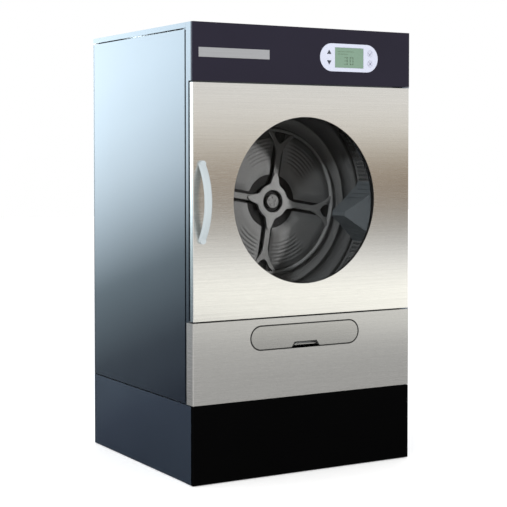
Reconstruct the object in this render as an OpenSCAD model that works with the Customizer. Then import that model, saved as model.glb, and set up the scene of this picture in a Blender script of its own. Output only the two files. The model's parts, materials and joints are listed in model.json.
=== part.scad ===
// Industrial tumble dryer on a plinth.
// X runs to the right seen from the front, Y to the rear, Z up; the origin is on the floor, under the middle.

/* [Cabinet] */
// Width of the cabinet
cab_w = 985; // [975:5:1000]
// Depth of the cabinet, without handle and exhaust collar
cab_d = 895; // [890:5:910]
// Overall height
cab_h = 1715; // [1710:5:1725]
// Height of the plinth
plinth_h = 297; // [294:1:300]
// Height of the lower edge of the door
door_z = 611; // [609:1:613]
// Height of the upper edge of the door
door_top = 1493; // [1490:1:1495]
// Gap between the front panels
front_gap = 6; // [5:0.5:7]
// Thickness of the sheet panels
sheet = 2; // [1.5:0.5:2.5]
// Radius of the folded outer corners
fold_r = 4; // [3:0.5:6]

/* [Door] */
// Depth of the door's folded edge
door_t = 23; // [22:1:24]
// Radius of the visible window
window_r = 320; // [312:1:324]
// How far the handle stands out from the door
handle_out = 60; // [50:1:60]
// Height of the handle
handle_h = 308; // [290:2:330]

/* [Drum] */
// Inner radius of the drum
drum_r = 440; // [430:1:442]
// Depth of the drum's back rim behind the front face
rim_depth = 280; // [275:5:290]
// Depth of the drum's hub behind the front face
hub_depth = 260; // [255:1:263]
// How far the drum's axis lies below the middle of the door
axis_drop = 11; // [6:1:14]
// Turn of the spider from upright at rest
spider_turn = 9.5; // [0:0.5:45]
// Number of lifters
lifter_count = 3; // [3:1:4]

/* [Drive and air] */
// Radius of the drum shaft
shaft_r = 25; // [20:1:30]
// Radius of the drum pulley
drum_pulley_r = 200; // [180:5:210]
// Radius of the motor pulley
motor_pulley_r = 40; // [35:1:45]
// Radius of the exhaust collar
exhaust_r = 100; // [90:5:100]
// How far the exhaust collar stands out at the rear
exhaust_out = 60; // [50:1:60]

/* [Hidden] */
$fn = 96;
half_w = cab_w / 2;
front = -cab_d / 2;
rear = cab_d / 2;
floor_gap = 3;
door_mid = (door_z + door_top) / 2;
drum_z = door_mid - axis_drop;
wall = 3;
running = 0.05;

// depths behind the front face
fascia_depth = 14;
post_front = front + 32;
post_rear = front + 52;
post_depth = 34;
side_front = front + 64;
lower_return = 50;

// height bands
lower_z = plinth_h + 3;
lower_top = door_z - front_gap;
fascia_z = door_top + front_gap;
deck_z = plinth_h - 2;
side_z = plinth_h + 4;
side_top = cab_h - 25;
lip = 20;

// drum and its neighbours
drum_out = drum_r + 2;
drum_front = front + 60;
drum_rim = front + rim_depth;
hub_y = front + hub_depth;
ring_r = 294;
hub_seat = 68;
mouth_r = 348;
drum_mouth_r = 362;
casing_r = 455;
casing_rear = drum_rim + 22;
back_plate = casing_rear + 2;

// rear drive
pulley_y = 275;
pulley_w = 25;
motor_x = 330;
motor_z = drum_z - 250;
output_r = 14;
belt_gap = 0.3;
belt_t = 6;

// fan and exhaust
fan_y = 240;
fan_z = 480;
fan_r = 100;
scroll_w = 120;
scroll_r0 = 112;
scroll_r1 = 175;
exhaust_z = 400;

// controls
bezel_x = 199;
bezel_z = 1605;
bezel_w = 271;
bezel_h = 108;
screen_x = 199;
screen_w = 136;
screen_h = 80;
left_keys_x = 105;
right_keys_x = 298;
key_rise = 20;

// filter drawer
flap_z = 533;
flap_w = 490;
flap_h = 91;
flap_gap = 3;
tray_half = 222;
tray_h = 70;
tray_front = front + 22;
tray_rear = front + 430;
guide_top = flap_z - tray_h / 2 - 0.5;

// hinge
hinge_x = half_w - 14.5;
hinge_y = front + 11.5;
pin_r = 6;

// handle
handle_x = -455;
handle_w = 30;
handle_t = 16;

// rear panel
terminal_x = 340;
terminal_z = 1560;

steel = [0.80, 0.80, 0.78];
slate = [0.27, 0.32, 0.38];
aubergine = [0.18, 0.17, 0.22];
zinc = [0.62, 0.64, 0.66];
drum_grey = [0.42, 0.42, 0.41];
rubber = [0.08, 0.08, 0.08];

// ---- shared shapes ----

// a block between two limits on each axis
module block(x, y, z)
    translate([x[0], y[0], z[0]]) cube([x[1] - x[0], y[1] - y[0], z[1] - z[0]]);

// a cylinder along Y
module y_disc(r, y, x = 0, z = drum_z)
    translate([x, y[0], z]) rotate([-90, 0, 0]) cylinder(r = r, h = y[1] - y[0]);

// a ring along Y
module y_ring(outer, inner, y, x = 0, z = drum_z)
    difference() {
        y_disc(outer, y, x, z);
        y_disc(inner, [y[0] - 1, y[1] + 1], x, z);
    }

// a ring along X
module x_ring(outer, inner, x, y, z)
    translate([x[0], y, z]) rotate([0, 90, 0]) difference() {
        cylinder(r = outer, h = x[1] - x[0]);
        translate([0, 0, -1]) cylinder(r = inner, h = x[1] - x[0] + 2);
    }

// a flat outline in X and Z, made solid between two values of Y
module upright(y)
    translate([0, y[1], 0]) rotate([90, 0, 0]) linear_extrude(y[1] - y[0]) children();

// a flat outline in Y and Z, made solid between two values of X
module sideways(x)
    translate([x[0], 0, 0]) rotate([90, 0, 90]) linear_extrude(x[1] - x[0]) children();

// a flat outline turned about the drum's axis, r along X and depth along Y
module drum_turned()
    translate([0, 0, drum_z]) rotate([-90, 0, 0]) rotate_extrude($fn = 128) children();

// a strip with round ends
module pill(w, h) {
    square([w - h, h], center = true);
    for (side = [-1, 1]) translate([side * (w - h) / 2, 0]) circle(d = h);
}

// a rectangle with round corners
module soft_rect(w, h, r) {
    square([w - 2 * r, h], center = true);
    square([w, h - 2 * r], center = true);
    for (sx = [-1, 1], sy = [-1, 1]) translate([sx * (w / 2 - r), sy * (h / 2 - r)]) circle(r = r);
}

// a deep rectangle whose two front corners are round
module front_round(w, depth, r) {
    translate([-w / 2, r]) square([w, depth - r]);
    translate([-w / 2 + r, 0]) square([w - 2 * r, depth / 2]);
    for (side = [-1, 1]) translate([side * (w / 2 - r), r]) circle(r = r);
}

// a front panel folded back at both sides and flanged above and below
module folded_front(w, depth, z, flange)
    difference() {
        translate([0, front, z[0]]) linear_extrude(z[1] - z[0]) front_round(w, depth, fold_r);
        translate([0, front + sheet, z[0] + sheet]) linear_extrude(z[1] - z[0] - 2 * sheet)
            front_round(w - 2 * sheet, depth, fold_r - sheet + 0.5);
        block([-w / 2 + flange, w / 2 - flange], [front + flange, 0], [z[0] - 1, z[1] + 1]);
    }

// ---- base and plinth ----

leg = 50;
leg_x = half_w - 45;
leg_y = rear - 50;

module leg_places()
    for (sx = [-1, 1], sy = [-1, 1]) translate([sx * leg_x, sy * leg_y, 0]) children();

module base_frame()
    color(zinc) {
        block([-half_w + 4, half_w - 4], [front + 8, rear - 6], [deck_z - 3, deck_z]);
        leg_places() difference() {
            translate([-leg / 2, -leg / 2, 25]) cube([leg, leg, deck_z - 28]);
            translate([-leg / 2 + wall, -leg / 2 + wall, 35])
                cube([leg - 2 * wall, leg - 2 * wall, deck_z - 45]);
            translate([0, 0, 20]) cylinder(r = 8, h = 20);
        }
    }

module levelling_feet()
    color("dimgray") leg_places() {
        cylinder(r = 24, h = 10);
        translate([0, 0, 10]) cylinder(r = 8 - running, h = 52);
        translate([0, 0, 16]) cylinder(r = 14, h = 8, $fn = 6);
    }

module plinth_front_panel()
    color("black") folded_front(cab_w, 16, [floor_gap, plinth_h], 12);

// a plate along the side with a shallow field inside its border
module plinth_side(sx) {
    outer = sx * half_w;
    y = [front + 16.5, rear - sheet - 0.5];
    difference() {
        block([min(outer, outer - sx * 3), max(outer, outer - sx * 3)], y, [floor_gap, plinth_h]);
        block([min(outer + sx, outer - sx * 1.4), max(outer + sx, outer - sx * 1.4)],
              [side_front - 7, y[1] - 14], [floor_gap - 1, plinth_h - 25]);
    }
}

module plinth_left_panel()
    color(slate) plinth_side(-1);

module plinth_right_panel()
    color(slate) plinth_side(1);

// ---- cabinet ----

module front_posts()
    color(slate) for (sx = [-1, 1]) {
        x0 = sx * (half_w - 7);
        x1 = sx * (half_w - 27);
        y = [post_rear + 0.5, post_rear + post_depth];
        difference() {
            block([min(x0, x1), max(x0, x1)], y, [plinth_h, cab_h - sheet - 1]);
            block([min(x0, x1) + sheet, max(x0, x1) - sheet], [y[0] + sheet, y[1] - sheet],
                  [plinth_h - 1, cab_h]);
        }
    }

// a side panel with returns at three edges, notched round the post, and a fold line above its lower edge
module side_panel(sx) {
    outer = sx * (half_w - 1);
    module from_side(depth_in, y, z)
        block([min(outer, outer - sx * depth_in), max(outer, outer - sx * depth_in)], y, z);
    y = [side_front, rear - 4];
    z = [side_z, side_top];
    difference() {
        from_side(18, y, z);
        translate([-sx * sheet, 0, 0])
            from_side(30, [y[0] - 1, y[1] - sheet], [z[0] + sheet, z[1] - sheet]);
        translate([-sx * sheet, 0, 0])
            from_side(30, [y[0] - 1, post_rear + post_depth + 1], [z[0] - 1, z[1] + 1]);
        translate([sx, 0, 0]) from_side(1.8, [y[0] - 1, y[1] + 1], [z[0] + 17, z[0] + 18.5]);
    }
}

module left_side_panel()
    color(slate) side_panel(-1);

module right_side_panel()
    color(slate) side_panel(1);

module top_cover()
    color(slate) difference() {
        block([-half_w, half_w], [front + 52.5, rear], [cab_h - lip, cab_h]);
        block([-half_w + sheet, half_w - sheet], [front + 51, rear - sheet],
              [cab_h - lip - 1, cab_h - sheet]);
    }

louvre_rows = 9;
louvre_pitch = 22;

module rear_panel()
    color(zinc) upright([rear - 2, rear])
        difference() {
            translate([-half_w, floor_gap]) square([cab_w, cab_h - lip - 6 - floor_gap]);
            translate([0, exhaust_z]) circle(r = exhaust_r + 0.5);
            for (row = [0:louvre_rows - 1], x = [-150, 150])
                translate([x, 1330 + row * louvre_pitch]) pill(200, 7);
            for (row = [0:3], x = [-260, 260])
                translate([x, 110 + row * louvre_pitch]) pill(200, 7);
            translate([terminal_x, terminal_z]) circle(r = 16);
        }

module front_bulkhead()
    color(slate) {
        difference() {
            translate([0, post_front, lower_top]) linear_extrude(fascia_z - lower_top) {
                translate([-half_w, 0]) square([cab_w, sheet]);
                for (sx = [-1, 1]) translate([sx * (half_w - sheet / 2) - sheet / 2, 0])
                    square([sheet, post_rear - post_front]);
            }
            y_disc(mouth_r, [post_front - 1, post_front + 5]);
        }
        y_ring(mouth_r + sheet, mouth_r, [post_front, drum_front + 2]);
    }

module control_housing()
    color(slate) difference() {
        block([-half_w, half_w], [front + fascia_depth, front + 52], [fascia_z, cab_h]);
        block([-half_w + sheet, half_w - sheet], [front + fascia_depth - 1, front + 50],
              [fascia_z + sheet, cab_h - sheet]);
    }

// ---- controls ----

module at_keys(x, up) translate([x, bezel_z + up * key_rise]) children();

module arrow(size, up)
    polygon([[-size, -up * size * 0.75], [size, -up * size * 0.75], [0, up * size * 0.9]]);

module control_fascia()
    color(aubergine) difference() {
        folded_front(cab_w, fascia_depth, [fascia_z, cab_h], 11);
        upright([front - 1, front + sheet + 1])
            translate([bezel_x, bezel_z]) pill(bezel_w - 12, bezel_h - 12);
    }

// the four key openings in the bezel, widened by a clearance
module key_outlines(gap) {
    for (up = [-1, 1]) {
        at_keys(left_keys_x, up) arrow(9.5 + gap, up);
        at_keys(right_keys_x, up) circle(r = 12 + gap);
    }
}

module control_bezel()
    color("lavender") difference() {
        union() {
            upright([front - 1.5, front]) translate([bezel_x, bezel_z]) pill(bezel_w, bezel_h);
            upright([front - 0.5, front + 5])
                translate([bezel_x, bezel_z]) pill(bezel_w - 12.6, bezel_h - 12.6);
        }
        upright([front - 3, front + 6]) {
            translate([screen_x, bezel_z]) soft_rect(screen_w, screen_h, 3);
            key_outlines(0.7);
        }
    }

module lcd_screen()
    color("darkseagreen") upright([front - 0.3, front + 9])
        translate([screen_x, bezel_z]) soft_rect(screen_w, screen_h, 3);

module control_board()
    color("seagreen") {
        upright([front + 20, front + 21.6]) translate([bezel_x, bezel_z]) soft_rect(bezel_w - 20, 100, 4);
        for (x = [left_keys_x, right_keys_x], up = [-1, 1])
            y_disc(4, [front + 16, front + 20], x, bezel_z + up * key_rise);
        for (x = [-90, 90], z = [-42, 42])
            y_disc(4, [front + 21.6, front + 50], bezel_x + x, bezel_z + z);
    }

// one key: its cap, the flange that keeps it behind the bezel, and the stem to its switch
module key(x, up) {
    upright([front - 2.1, front + 6]) at_keys(x, up) children();
    y_disc(15, [front + 6, front + 7.5], x, bezel_z + up * key_rise);
    y_disc(3, [front + 7.5, front + 15], x, bezel_z + up * key_rise);
}

module key_up()
    color("midnightblue") key(left_keys_x, 1) arrow(9.5, 1);

module key_down()
    color("midnightblue") key(left_keys_x, -1) arrow(9.5, -1);

module key_confirm()
    color("lavender") key(right_keys_x, 1) circle(r = 12);

module key_cancel()
    color("lavender") key(right_keys_x, -1) circle(r = 12);

// ---- lower front and filter drawer ----

module lower_front_panel()
    color(steel) difference() {
        folded_front(cab_w, lower_return, [lower_z, lower_top], 16);
        upright([front - 1, front + sheet + 1])
            translate([0, flap_z]) pill(flap_w + 2 * flap_gap, flap_h + 2 * flap_gap);
    }

module filter_guides()
    color(zinc) for (sx = [-1, 1]) {
        x0 = sx * (tray_half + 2);
        x1 = sx * (tray_half + 4);
        x2 = sx * (tray_half - 14);
        block([min(x0, x1), max(x0, x1)], [front + 60, tray_rear], [guide_top - 2, flap_z + 30]);
        block([min(x2, x1), max(x2, x1)], [front + 60, tray_rear], [guide_top - 2, guide_top]);
        for (y = [front + 90, tray_rear - 60])
            block([min(x1, x1 + sx * 3), max(x1, x1 + sx * 3)], [y, y + 30], [deck_z, flap_z - 10]);
    }

flap_low = flap_z - flap_h / 2;

// outline of the finger notch
module notch_outline()
    polygon([[-62, flap_low - 5], [62, flap_low - 5], [62, flap_low + 3], [49, flap_low + 20],
             [-49, flap_low + 20], [-62, flap_low + 3]]);

module filter_flap()
    color(steel) {
        upright([front, front + sheet]) difference() {
            translate([0, flap_z]) pill(flap_w, flap_h);
            notch_outline();
        }
        for (sx = [-1, 1]) {
            block([sx * 150 - 6, sx * 150 + 6], [front + sheet, tray_front], [flap_z - 10, flap_z + 10]);
            block([sx * 65 - 1, sx * 65 + 1], [front + sheet, tray_front], [flap_low + 1, flap_low + 24]);
        }
        block([-65, 65], [front + sheet, tray_front], [flap_low + 22, flap_low + 24]);
        block([-65, 65], [front + 9, front + 15], [flap_low + 8, flap_low + 12]);
    }

module filter_tray()
    color(zinc) {
        z = [flap_z - tray_h / 2, flap_z + tray_h / 2];
        difference() {
            block([-tray_half, tray_half], [tray_front, tray_rear], z);
            block([-tray_half + sheet, tray_half - sheet], [tray_front + sheet, tray_rear - sheet],
                  [z[0] - 1, z[1] + 1]);
        }
        for (sx = [-1, 1]) {
            inner = sx * (tray_half - sheet);
            ledge = sx * (tray_half - 16);
            block([min(inner, ledge), max(inner, ledge)], [tray_front + sheet, tray_rear - sheet],
                  [z[0], z[0] + 2]);
        }
    }

module filter_mesh()
    color("gray") block([-tray_half + sheet, tray_half - sheet], [tray_front + sheet, tray_rear - sheet],
                        [flap_z - tray_h / 2 + 2, flap_z - tray_h / 2 + 4]);

// ---- drum and its casing ----

chute = [205, front + 90, front + 270];

module drum_casing()
    color(zinc) {
        difference() {
            y_ring(casing_r + 2, casing_r, [drum_front + 3, casing_rear]);
            block([-chute[0], chute[0]], [chute[1], chute[2]], [drum_z - casing_r - 5, drum_z - 300]);
        }
        difference() {
            block([-chute[0] - 2, chute[0] + 2], [chute[1] - 2, chute[2] + 2],
                  [flap_z + tray_h / 2 + 3, drum_z - casing_r + 60]);
            block([-chute[0], chute[0]], [chute[1], chute[2]], [0, drum_z]);
            y_disc(casing_r + 1, [front, rear]);
        }
    }

module drum_front_seal()
    color("dimgray") y_ring(drum_mouth_r - 0.6, mouth_r + sheet, [drum_front - 3, drum_front + 2]);

module drum_shell()
    color(drum_grey) {
        y_ring(drum_out, drum_r, [drum_front, drum_rim]);
        y_ring(drum_out, drum_mouth_r, [drum_front, drum_front + 2]);
        y_ring(drum_mouth_r + 2, drum_mouth_r, [drum_front, drum_front + 12]);
    }

// the back: a shallow dish out to the raised ring, then a cone back to the rim
module drum_back()
    color(drum_grey) drum_turned()
        polygon([[hub_seat, hub_y + 4], [ring_r - 6, hub_y + 2], [ring_r, hub_y + 4],
                 [drum_r - 12, drum_rim - 6], [drum_r, drum_rim - 6], [drum_r, drum_rim],
                 [drum_r - 16, drum_rim], [ring_r - 4, hub_y + 11], [ring_r - 8, hub_y + 9],
                 [hub_seat, hub_y + 10]]);

arm_half = 12;
fork_low = ring_r - 95;
fork_high = ring_r - 14;
star_tip = 112;
hub_r = 60;
recess_r = 45;
cap_r = 27;

module drum_spider()
    color("gray") {
        y_ring(hub_seat, shaft_r, [hub_y - 10, hub_y + 10]);
        y_ring(hub_r, recess_r, [hub_y - 14, hub_y - 10]);
        y_ring(ring_r, ring_r - 14, [hub_y - 12, hub_y + 2]);
        for (arm = [0:3])
            translate([0, 0, drum_z]) rotate([0, spider_turn + arm * 90, 0]) translate([0, 0, -drum_z]) {
                upright([hub_y - 8, hub_y + 2]) translate([0, drum_z])
                    polygon([[-arm_half, 50], [arm_half, 50], [arm_half, fork_low], [66, fork_high],
                             [44, fork_high], [0, fork_low + 32], [-44, fork_high], [-66, fork_high],
                             [-arm_half, fork_low]]);
                upright([hub_y - 12, hub_y - 8]) translate([0, drum_z])
                    polygon([[-36, 54], [36, 54], [4, star_tip], [-4, star_tip]]);
            }
    }

module hub_cap()
    color("silver") {
        y_disc(cap_r, [hub_y - 14, hub_y - 10]);
        for (bolt = [0:4])
            y_disc(3.5, [hub_y - 17, hub_y - 14], 16 * cos(bolt * 72), drum_z + 16 * sin(bolt * 72));
    }

lifter_turn = 6.5;
lifter_crest = 296;
lifter_half = 124;
lifter_lean = 20;
lifter_nose = drum_front + 18;
lifter_shoulder = front + 165;

// a triangular wedge along the wall, its front end sloped down to the wall; less makes its hollow
module lifter_wedge(less)
    hull() {
        translate([0, drum_rim, 0]) rotate([90, 0, 0]) linear_extrude(drum_rim - lifter_shoulder - less)
            polygon([[-lifter_half + 2 * less, drum_r], [lifter_half - 2 * less, drum_r],
                     [lifter_lean + 8 - less / 2, lifter_crest + less],
                     [lifter_lean - 8 + less / 2, lifter_crest + less]]);
        block([-lifter_half + 2 * less, lifter_half - 2 * less],
              [lifter_nose + 2 * less, lifter_nose + 2 * less + 1], [drum_r - 22 + less, drum_r]);
    }

// the drum's room that a lifter may fill, short of the wall and of the back
module lifter_room(less)
    rotate([-90, 0, 0]) rotate_extrude($fn = 128)
        polygon([[ring_r, drum_front], [drum_r - 0.1 + less, drum_front],
                 [drum_r - 0.1 + less, drum_rim - 7 - less], [drum_r - 12, drum_rim - 7 - less],
                 [ring_r, hub_y + 3 - less]]);

module drum_lifters()
    color(drum_grey) for (i = [0:lifter_count - 1])
        translate([0, 0, drum_z]) rotate([0, lifter_turn + 90 + i * 360 / lifter_count, 0]) difference() {
            intersection() {
                lifter_wedge(0);
                lifter_room(0);
            }
            intersection() {
                lifter_wedge(wall);
                lifter_room(wall);
            }
        }

module drum_shaft()
    color("silver") y_disc(shaft_r, [hub_y - 10, pulley_y + pulley_w + 15]);

// ---- drive ----

module rear_bulkhead()
    color(zinc) difference() {
        block([-half_w + 12, half_w - 12], [casing_rear, back_plate], [deck_z + 280, drum_z + casing_r + 10]);
        y_disc(45, [casing_rear - 1, back_plate + 1]);
        block([-190, 190], [casing_rear - 1, back_plate + 1], [1325, 1415]);
        y_disc(output_r + 6, [casing_rear - 1, back_plate + 1], motor_x, motor_z);
    }

module bearing_housing()
    color("dimgray") {
        y_ring(130, 45, [back_plate, back_plate + 12]);
        y_ring(60, 45, [back_plate + 12, pulley_y - 12]);
        for (rib = [0:3])
            translate([0, 0, drum_z]) rotate([0, 45 + rib * 90, 0])
                sideways([-4, 4])
                    polygon([[back_plate + 12, 58], [back_plate + 12, 120], [pulley_y - 40, 58]]);
    }

module drum_bearings()
    color("silver") {
        y_ring(45, shaft_r + running, [back_plate + 4, back_plate + 34]);
        y_ring(45, shaft_r + running, [pulley_y - 44, pulley_y - 14]);
    }

// a belt pulley with a flange at each side of its belt
module pulley(r, bore, x, z) {
    difference() {
        union() {
            y_disc(r, [pulley_y, pulley_y + pulley_w], x, z);
            for (y = [pulley_y - 3, pulley_y + pulley_w]) y_disc(r + 4, [y, y + 3], x, z);
        }
        y_disc(bore, [pulley_y - 5, pulley_y + pulley_w + 5], x, z);
        if (r > 100) {
            for (y = [pulley_y - 5, pulley_y + pulley_w - 8])
                y_ring(r - 18, shaft_r + 22, [y, y + 14], x, z);
            for (hole = [0:4])
                y_disc(38, [pulley_y - 5, pulley_y + pulley_w + 5],
                       x + 112 * cos(hole * 72), z + 112 * sin(hole * 72));
        }
    }
}

module drum_pulley()
    color("dimgray") pulley(drum_pulley_r, shaft_r, 0, drum_z);

module motor_pulley()
    color("dimgray") {
        pulley(motor_pulley_r, output_r, motor_x, motor_z);
        y_disc(output_r, [pulley_y - 25, pulley_y + pulley_w + 8], motor_x, motor_z);
    }

// the open belt's outline round two pulleys at one distance from both
module belt_outline(add) {
    gap = [motor_x, motor_z - drum_z];
    lean = atan2(gap[1], gap[0]);
    open = acos((drum_pulley_r - motor_pulley_r) / norm(gap));
    big = drum_pulley_r + add;
    small = motor_pulley_r + add;
    translate([0, drum_z]) {
        circle(r = big);
        translate(gap) circle(r = small);
        polygon([
            [big * cos(lean + open), big * sin(lean + open)],
            [gap[0] + small * cos(lean + open), gap[1] + small * sin(lean + open)],
            [gap[0] + small * cos(lean - open), gap[1] + small * sin(lean - open)],
            [big * cos(lean - open), big * sin(lean - open)]
        ]);
    }
}

module drum_belt()
    color(rubber) upright([pulley_y + 2, pulley_y + pulley_w - 2]) difference() {
        belt_outline(belt_gap + belt_t);
        belt_outline(belt_gap);
    }

module gearmotor()
    color("slategray") {
        difference() {
            y_disc(60, [back_plate + 10, pulley_y - 8], motor_x, motor_z);
            y_disc(output_r + running, [pulley_y - 30, pulley_y], motor_x, motor_z);
        }
        block([motor_x - 95, motor_x + 95], [back_plate, back_plate + 10], [motor_z - 95, motor_z + 95]);
        block([motor_x - 30, motor_x + 30], [back_plate + 40, back_plate + 120],
              [motor_z - 100, motor_z - 55]);
    }

// ---- air ----

// outline of the scroll: a spiral that opens towards the outlet low at the rear
function spiral(t, less) = let (r = scroll_r0 + (scroll_r1 - scroll_r0) * t / 360 - less, a = 270 - t)
    [fan_y + r * cos(a), fan_z + r * sin(a)];

outlet_rear = fan_y + 105;
outlet_low = fan_z - scroll_r1;
outlet_high = fan_z - 45;

module scroll_outline(less) {
    polygon([for (t = [360:-10:10]) spiral(t, less)]);
    translate([fan_y, outlet_low + less]) square([outlet_rear - fan_y, outlet_high - outlet_low - 2 * less]);
}

module fan_housing()
    color(zinc) {
        difference() {
            sideways([-scroll_w / 2, scroll_w / 2]) scroll_outline(0);
            sideways([-scroll_w / 2 + 2, scroll_w / 2 - 2]) scroll_outline(2);
            block([-scroll_w / 2 + 2, scroll_w / 2 - 2], [outlet_rear - 5, outlet_rear + 5],
                  [outlet_low + 2, outlet_high - 2]);
            translate([-scroll_w / 2 - 1, fan_y, fan_z]) rotate([0, 90, 0]) cylinder(r = 75, h = 4);
            translate([scroll_w / 2 - 3, fan_y, fan_z]) rotate([0, 90, 0]) cylinder(r = 12, h = 4);
        }
        difference() {
            outlet_cone(0);
            outlet_cone(2);
        }
        for (y = [fan_y - 100, fan_y + 40])
            block([-scroll_w / 2 + 2, scroll_w / 2 - 2], [y, y + 20],
                  [deck_z, outlet_low + 30 * abs(y - fan_y) / 100]);
    }

// the duct that grows from the scroll's outlet to the round collar
module outlet_cone(less) {
    edge = less > 0 ? 1 : 0;
    hull() {
        block([-scroll_w / 2 + less, scroll_w / 2 - less], [outlet_rear - edge, outlet_rear + 1],
              [outlet_low + less, outlet_high - less]);
        translate([0, rear - 3 - 1 + edge * 2, exhaust_z]) rotate([-90, 0, 0])
            cylinder(r = exhaust_r - less - 2, h = 1, $fn = 32);
    }
}

module fan_motor()
    color("slategray") difference() {
        union() {
            translate([scroll_w / 2, fan_y, fan_z]) rotate([0, 90, 0]) cylinder(r = 70, h = 8);
            translate([scroll_w / 2 + 8, fan_y, fan_z]) rotate([0, 90, 0]) cylinder(r = 58, h = 130);
        }
        translate([scroll_w / 2 - 1, fan_y, fan_z]) rotate([0, 90, 0]) cylinder(r = 8 + running, h = 60);
    }

blade_count = 24;

module fan_impeller()
    color("silver") {
        x_ring(fan_r, 7, [scroll_w / 2 - 12, scroll_w / 2 - 10], fan_y, fan_z);
        x_ring(fan_r, fan_r - 16, [-scroll_w / 2 + 8, -scroll_w / 2 + 10], fan_y, fan_z);
        for (blade = [0:blade_count - 1])
            translate([0, fan_y, fan_z]) rotate([blade * 360 / blade_count, 0, 0])
                block([-scroll_w / 2 + 9, scroll_w / 2 - 11], [-1, 1], [fan_r - 15, fan_r - 1]);
        translate([scroll_w / 2 - 40, fan_y, fan_z]) rotate([0, 90, 0]) cylinder(r = 22, h = 30);
        translate([scroll_w / 2 - 30, fan_y, fan_z]) rotate([0, 90, 0]) cylinder(r = 8, h = 85);
    }

module exhaust_collar()
    color(zinc) {
        y_ring(exhaust_r, exhaust_r - 2, [rear - 2, rear + exhaust_out], 0, exhaust_z);
        y_ring(exhaust_r + 20, exhaust_r - 1, [rear, rear + 2], 0, exhaust_z);
    }

heater_z = [1290, 1470];
heater_y = [back_plate, back_plate + 260];

module heater_box()
    color(zinc) difference() {
        block([-260, 260], heater_y, heater_z);
        block([-258, 258], [heater_y[0] + 2, heater_y[1] - 2], [heater_z[0] + 2, heater_z[1] - 2]);
        block([-190, 190], [heater_y[0] - 1, heater_y[0] + 3], [1325, 1415]);
        block([-240, 240], [heater_y[1] - 3, heater_y[1] + 1], [heater_z[0] + 20, heater_z[1] - 20]);
    }

module heater_elements()
    color("darkred") for (row = [0:2]) translate([0, back_plate + 60 + row * 70, 1380]) {
        for (z = [-30, 30]) translate([-257, 0, z]) rotate([0, 90, 0]) cylinder(r = 5, h = 437);
        translate([180, 0, 0]) rotate([90, 0, 0]) rotate([0, 0, -90])
            rotate_extrude(angle = 180) translate([30, 0]) circle(r = 5, $fn = 32);
    }

module terminal_box()
    color("gray") difference() {
        block([terminal_x - 75, terminal_x + 75], [rear, rear + 45], [terminal_z - 55, terminal_z + 55]);
        block([terminal_x - 73, terminal_x + 73], [rear - 1, rear + 43], [terminal_z - 53, terminal_z + 53]);
        translate([terminal_x, rear + 23, terminal_z - 60]) cylinder(r = 12, h = 10);
    }

module cable_gland()
    color(rubber) translate([terminal_x, rear + 23, terminal_z - 55]) difference() {
        union() {
            translate([0, 0, -10]) cylinder(r = 17, h = 10, $fn = 6);
            translate([0, 0, -26]) cylinder(r = 14, h = 16);
            cylinder(r = 11.8, h = 10);
        }
        translate([0, 0, -30]) cylinder(r = 8, h = 50);
    }

// ---- door ----

door_half = half_w - 2;
pan_y = front + door_t - sheet;

module door_skin()
    color(steel) difference() {
        folded_front(2 * door_half, door_t, [door_z, door_top], 20);
        y_disc(window_r, [front - 1, front + 5], 0, door_mid);
        for (z = [door_z - 1, door_top - 3])
            translate([hinge_x, hinge_y, z]) cylinder(r = pin_r + 1, h = 4);
    }

module door_inner_pan()
    color(steel) difference() {
        block([-door_half + 3, door_half - 3], [pan_y, pan_y + sheet], [door_z + 3, door_top - 3]);
        y_disc(window_r + 7, [pan_y - 1, pan_y + 3], 0, door_mid);
    }

module hinge_blocks()
    color("gray") for (z = [door_z + 2, door_top - 30])
        difference() {
            block([hinge_x - 13, door_half - 3.5], [front + 2.2, pan_y], [z, z + 28]);
            translate([hinge_x, hinge_y, z - 1]) cylinder(r = pin_r + running, h = 30);
        }

module window_glass()
    color([0.2, 0.22, 0.24, 0.4]) y_disc(window_r + 13, [front + 2, front + 7], 0, door_mid);

module window_seal()
    color(rubber) y_ring(window_r + 18, window_r + 4, [front + 7, pan_y], 0, door_mid);

module inner_glass()
    color([0.2, 0.22, 0.24, 0.4]) y_disc(window_r + 16, [pan_y + 2, pan_y + 5], 0, door_mid);

module door_gasket()
    color(rubber) difference() {
        y_ring(mouth_r + 26, window_r + 16, [pan_y + 2, post_front - 0.4], 0, door_mid);
        y_ring(mouth_r + 20, mouth_r + 8, [post_front - 3, post_front], 0, door_mid);
    }

module hinge_brackets()
    color("gray") for (z = [door_z - 5, door_top + 1])
        difference() {
            block([hinge_x - 20, half_w - 1], [hinge_y - 9, post_front], [z, z + 4]);
            translate([hinge_x, hinge_y, z - 1]) cylinder(r = pin_r, h = 6);
        }

module hinge_pins()
    color("silver") {
        translate([hinge_x, hinge_y, door_z - 5]) cylinder(r = pin_r, h = 32);
        translate([hinge_x, hinge_y, door_top - 27]) cylinder(r = pin_r, h = 32);
    }

module door_keeper()
    color("silver") block([-half_w + 8, -half_w + 26], [post_front - 3, post_front],
                          [door_mid - 40, door_mid + 40]);

// the handle: a bow of constant curve between two feet
bow_r = (pow(handle_h / 2 - 12, 2) + pow(handle_out - 8, 2)) / (2 * (handle_out - 8));
bow_half = asin((handle_h / 2 - 12) / bow_r);

module bow_section() {
    square([handle_w - handle_t, handle_t], center = true);
    for (side = [-1, 1]) translate([side * (handle_w - handle_t) / 2, 0]) circle(d = handle_t, $fn = 32);
}

module door_handle()
    color("lightgray") {
        difference() {
            translate([handle_x, front - handle_out + handle_t / 2 + bow_r, door_mid]) rotate([0, 90, 0])
                rotate([0, 0, -90 - bow_half]) rotate_extrude(angle = 2 * bow_half, $fn = 192)
                    translate([bow_r, 0]) rotate(90) bow_section();
            block([handle_x - 30, handle_x + 30], [front, front + 30],
                  [door_mid - handle_h, door_mid + handle_h]);
        }
        for (up = [-1, 1])
            y_disc(12, [front - 14, front], handle_x, door_mid + up * (handle_h / 2 - 12));
    }

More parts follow.
